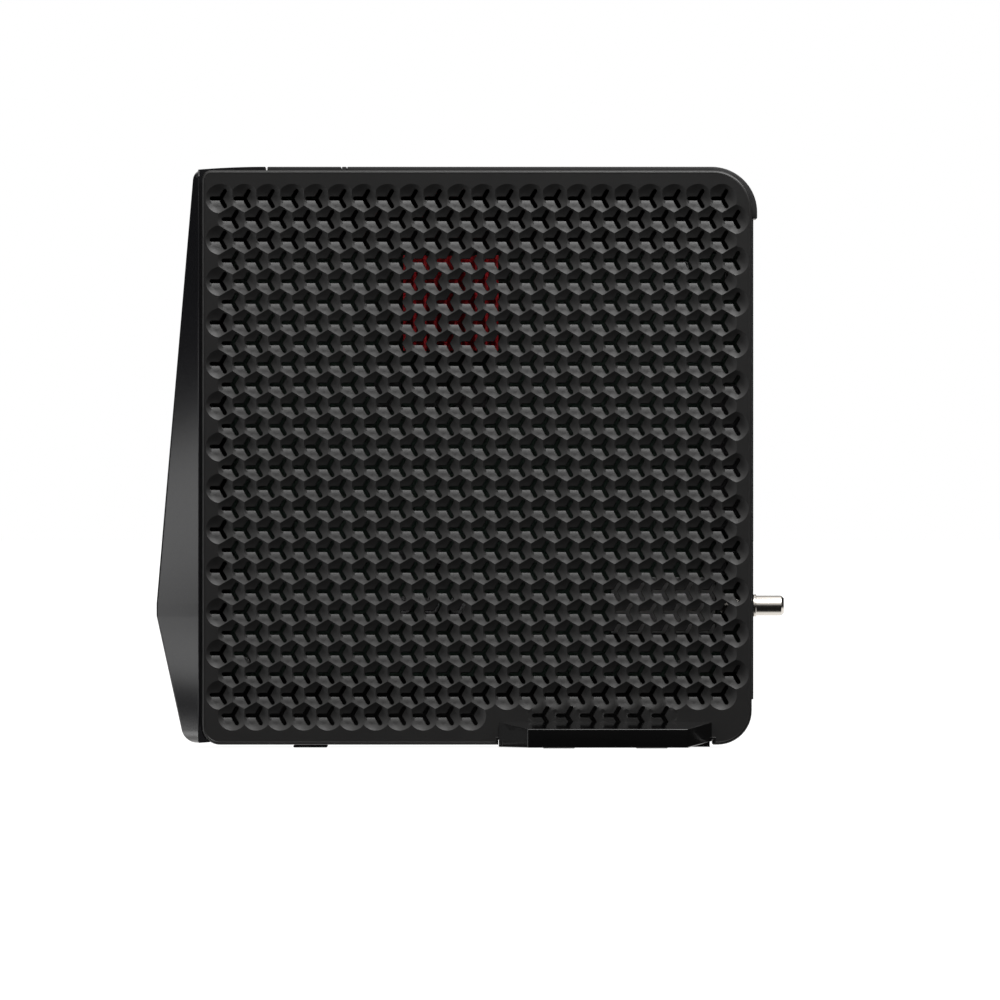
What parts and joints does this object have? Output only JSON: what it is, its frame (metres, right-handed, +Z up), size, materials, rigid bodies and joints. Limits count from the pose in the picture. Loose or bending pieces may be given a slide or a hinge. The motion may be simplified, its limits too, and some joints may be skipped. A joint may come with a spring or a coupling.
{
  "type": "cable modem",
  "caption": "Upright cable modem with perforated side covers, a faceted nose, a low splayed stand, a coaxial connector, network sockets and sprung keys.",
  "frame": {"origin": "on the floor plane, midway between the tip of the nose and the tip of the coaxial connector, on the seam between the two side covers", "axes": "+Z up; +X from the nose to the rear panel with its sockets; -Y the left side cover, +Y the right one"},
  "size_m": [0.2766, 0.106, 0.2559],
  "materials": {
    "cover_plastic": "fine-textured charcoal moulding",
    "nose_plastic": "satin charcoal moulding",
    "band_plastic": "satin near-black moulding",
    "stand_plastic": "polished black",
    "jack_plastic": "black engineering plastic",
    "insulator": "white dielectric",
    "soft_rubber": "matte black",
    "lens_plastic": "smoked, polished",
    "pipe_plastic": "clear, diffusing",
    "nickel": "nickel plate",
    "gold": "gold-plated spring brass",
    "steel": "zinc plated",
    "red_anodised": "dark red anodising",
    "board_laminate": "green solder mask",
    "chip_epoxy": "black moulding compound",
    "pad_silicone": "soft grey-blue silicone",
    "can_aluminium": "plain can"
  },
  "bodies": {
    "case": {"left_side_cover": "cover_plastic", "right_side_cover": "cover_plastic", "front_cover": "nose_plastic", "status_lens": "lens_plastic", "light_pipe": "pipe_plastic", "light_board": "board_laminate", "spine": "band_plastic", "key_guide": "jack_plastic", "key_switch": "chip_epoxy", "key_board": "board_laminate", "rear_panel": "band_plastic", "coax_barrel": "nickel", "coax_nut": "nickel", "coax_insulator": "insulator", "coax_contact": "gold", "ethernet_jack": "jack_plastic", "ethernet_contacts_1": "gold", "ethernet_contacts_2": "gold", "ethernet_contacts_3": "gold", "ethernet_contacts_4": "gold", "dc_jack": "jack_plastic", "dc_pin": "nickel", "power_switch": "chip_epoxy", "reset_switch": "chip_epoxy", "main_board": "board_laminate", "heat_sink": "red_anodised", "main_chip": "chip_epoxy", "thermal_pad": "pad_silicone", "memory_chip_1": "chip_epoxy", "memory_chip_2": "chip_epoxy", "flash_chip": "chip_epoxy", "tuner_shield": "steel", "capacitor_1": "can_aluminium", "capacitor_2": "can_aluminium", "capacitor_3": "can_aluminium", "inductor_1": "chip_epoxy", "inductor_2": "chip_epoxy", "board_screw_1": "steel", "board_screw_2": "steel", "board_screw_3": "steel", "board_screw_4": "steel", "panel_screw_1": "steel", "panel_screw_2": "steel", "stand_screw_1": "steel", "stand_screw_2": "steel", "stand_screw_3": "steel", "stand_screw_4": "steel", "stand": "stand_plastic", "stand_pad_1": "soft_rubber", "stand_pad_2": "soft_rubber", "stand_pad_3": "soft_rubber", "stand_pad_4": "soft_rubber", "front_foot": "soft_rubber"},
    "top_key": {"top_key": "band_plastic"},
    "power_key": {"power_key": "jack_plastic"},
    "reset_key": {"reset_key": "jack_plastic"}
  },
  "joints": [
    {"name": "top_key_press", "type": "slide", "parent": "case", "child": "top_key", "axis": [0, 0, -1], "range_m": [0, 0.001], "stiffness_N_per_m": 600, "springref_m": -0.0008},
    {"name": "power_key_press", "type": "slide", "parent": "case", "child": "power_key", "axis": [-1, 0, 0], "range_m": [0, 0.002], "stiffness_N_per_m": 500, "springref_m": -0.001},
    {"name": "reset_key_press", "type": "slide", "parent": "case", "child": "reset_key", "axis": [-1, 0, 0], "range_m": [0, 0.0008], "stiffness_N_per_m": 500, "springref_m": -0.0005}
  ]
}
